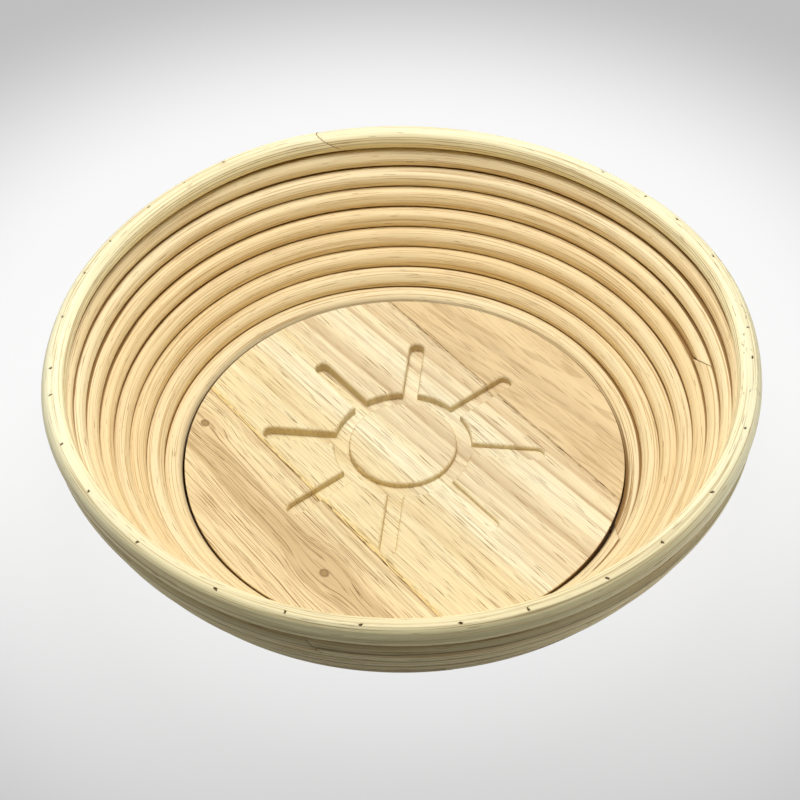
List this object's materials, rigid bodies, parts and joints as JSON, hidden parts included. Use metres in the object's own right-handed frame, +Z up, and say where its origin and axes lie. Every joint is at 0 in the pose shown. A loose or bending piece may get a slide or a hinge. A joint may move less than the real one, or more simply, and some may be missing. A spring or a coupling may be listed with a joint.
{
  "type": "bread proofing basket",
  "caption": "Round bread proofing basket: bowl wall of bent cane hoops nailed course on course round a wooden base board with a milled sun relief.",
  "frame": {"origin": "centre of the hoops, on the plane that the base board stands on", "axes": "+Z up along the axis of the hoops, -Y towards the viewer of the picture"},
  "size_m": [0.2496, 0.2496, 0.0685],
  "materials": {
    "wall_cane": "raw scraped cane with long fibres, satin",
    "rim_cane": "raw pale cane, planed in places",
    "pale_wood": "sanded raw rubberwood with short dark pores",
    "knotty_wood": "sanded raw rubberwood with two small knots",
    "nail_steel": "dark oxidised wire"
  },
  "bodies": {
    "root": {"rim_hoop": "rim_cane", "wall_hoop_1": "wall_cane", "wall_hoop_2": "wall_cane", "wall_hoop_3": "wall_cane", "wall_hoop_4": "wall_cane", "wall_hoop_5": "wall_cane", "wall_hoop_6": "wall_cane", "wall_hoop_7": "wall_cane", "wall_hoop_8": "wall_cane", "base_stave_1": "knotty_wood", "base_stave_2": "pale_wood", "base_stave_3": "pale_wood", "base_stave_4": "pale_wood", "rim_nail_01": "nail_steel", "rim_nail_02": "nail_steel", "rim_nail_03": "nail_steel", "rim_nail_04": "nail_steel", "rim_nail_05": "nail_steel", "rim_nail_06": "nail_steel", "rim_nail_07": "nail_steel", "rim_nail_08": "nail_steel", "rim_nail_09": "nail_steel", "rim_nail_10": "nail_steel", "rim_nail_11": "nail_steel", "rim_nail_12": "nail_steel", "rim_nail_13": "nail_steel", "rim_nail_14": "nail_steel", "rim_nail_15": "nail_steel", "rim_nail_16": "nail_steel", "rim_nail_17": "nail_steel", "rim_nail_18": "nail_steel", "rim_nail_19": "nail_steel", "rim_nail_20": "nail_steel", "rim_nail_21": "nail_steel", "rim_nail_22": "nail_steel", "rim_nail_23": "nail_steel", "rim_nail_24": "nail_steel", "rim_nail_25": "nail_steel", "rim_nail_26": "nail_steel", "scarf_nail_2": "nail_steel", "scarf_nail_3": "nail_steel", "scarf_nail_4": "nail_steel", "scarf_nail_5": "nail_steel", "scarf_nail_6": "nail_steel", "scarf_nail_7": "nail_steel", "scarf_nail_8": "nail_steel", "board_nail_1": "nail_steel", "board_nail_2": "nail_steel", "board_nail_3": "nail_steel", "board_nail_4": "nail_steel", "board_nail_5": "nail_steel", "board_nail_6": "nail_steel", "board_nail_7": "nail_steel", "board_nail_8": "nail_steel"}
  },
  "joints": []
}
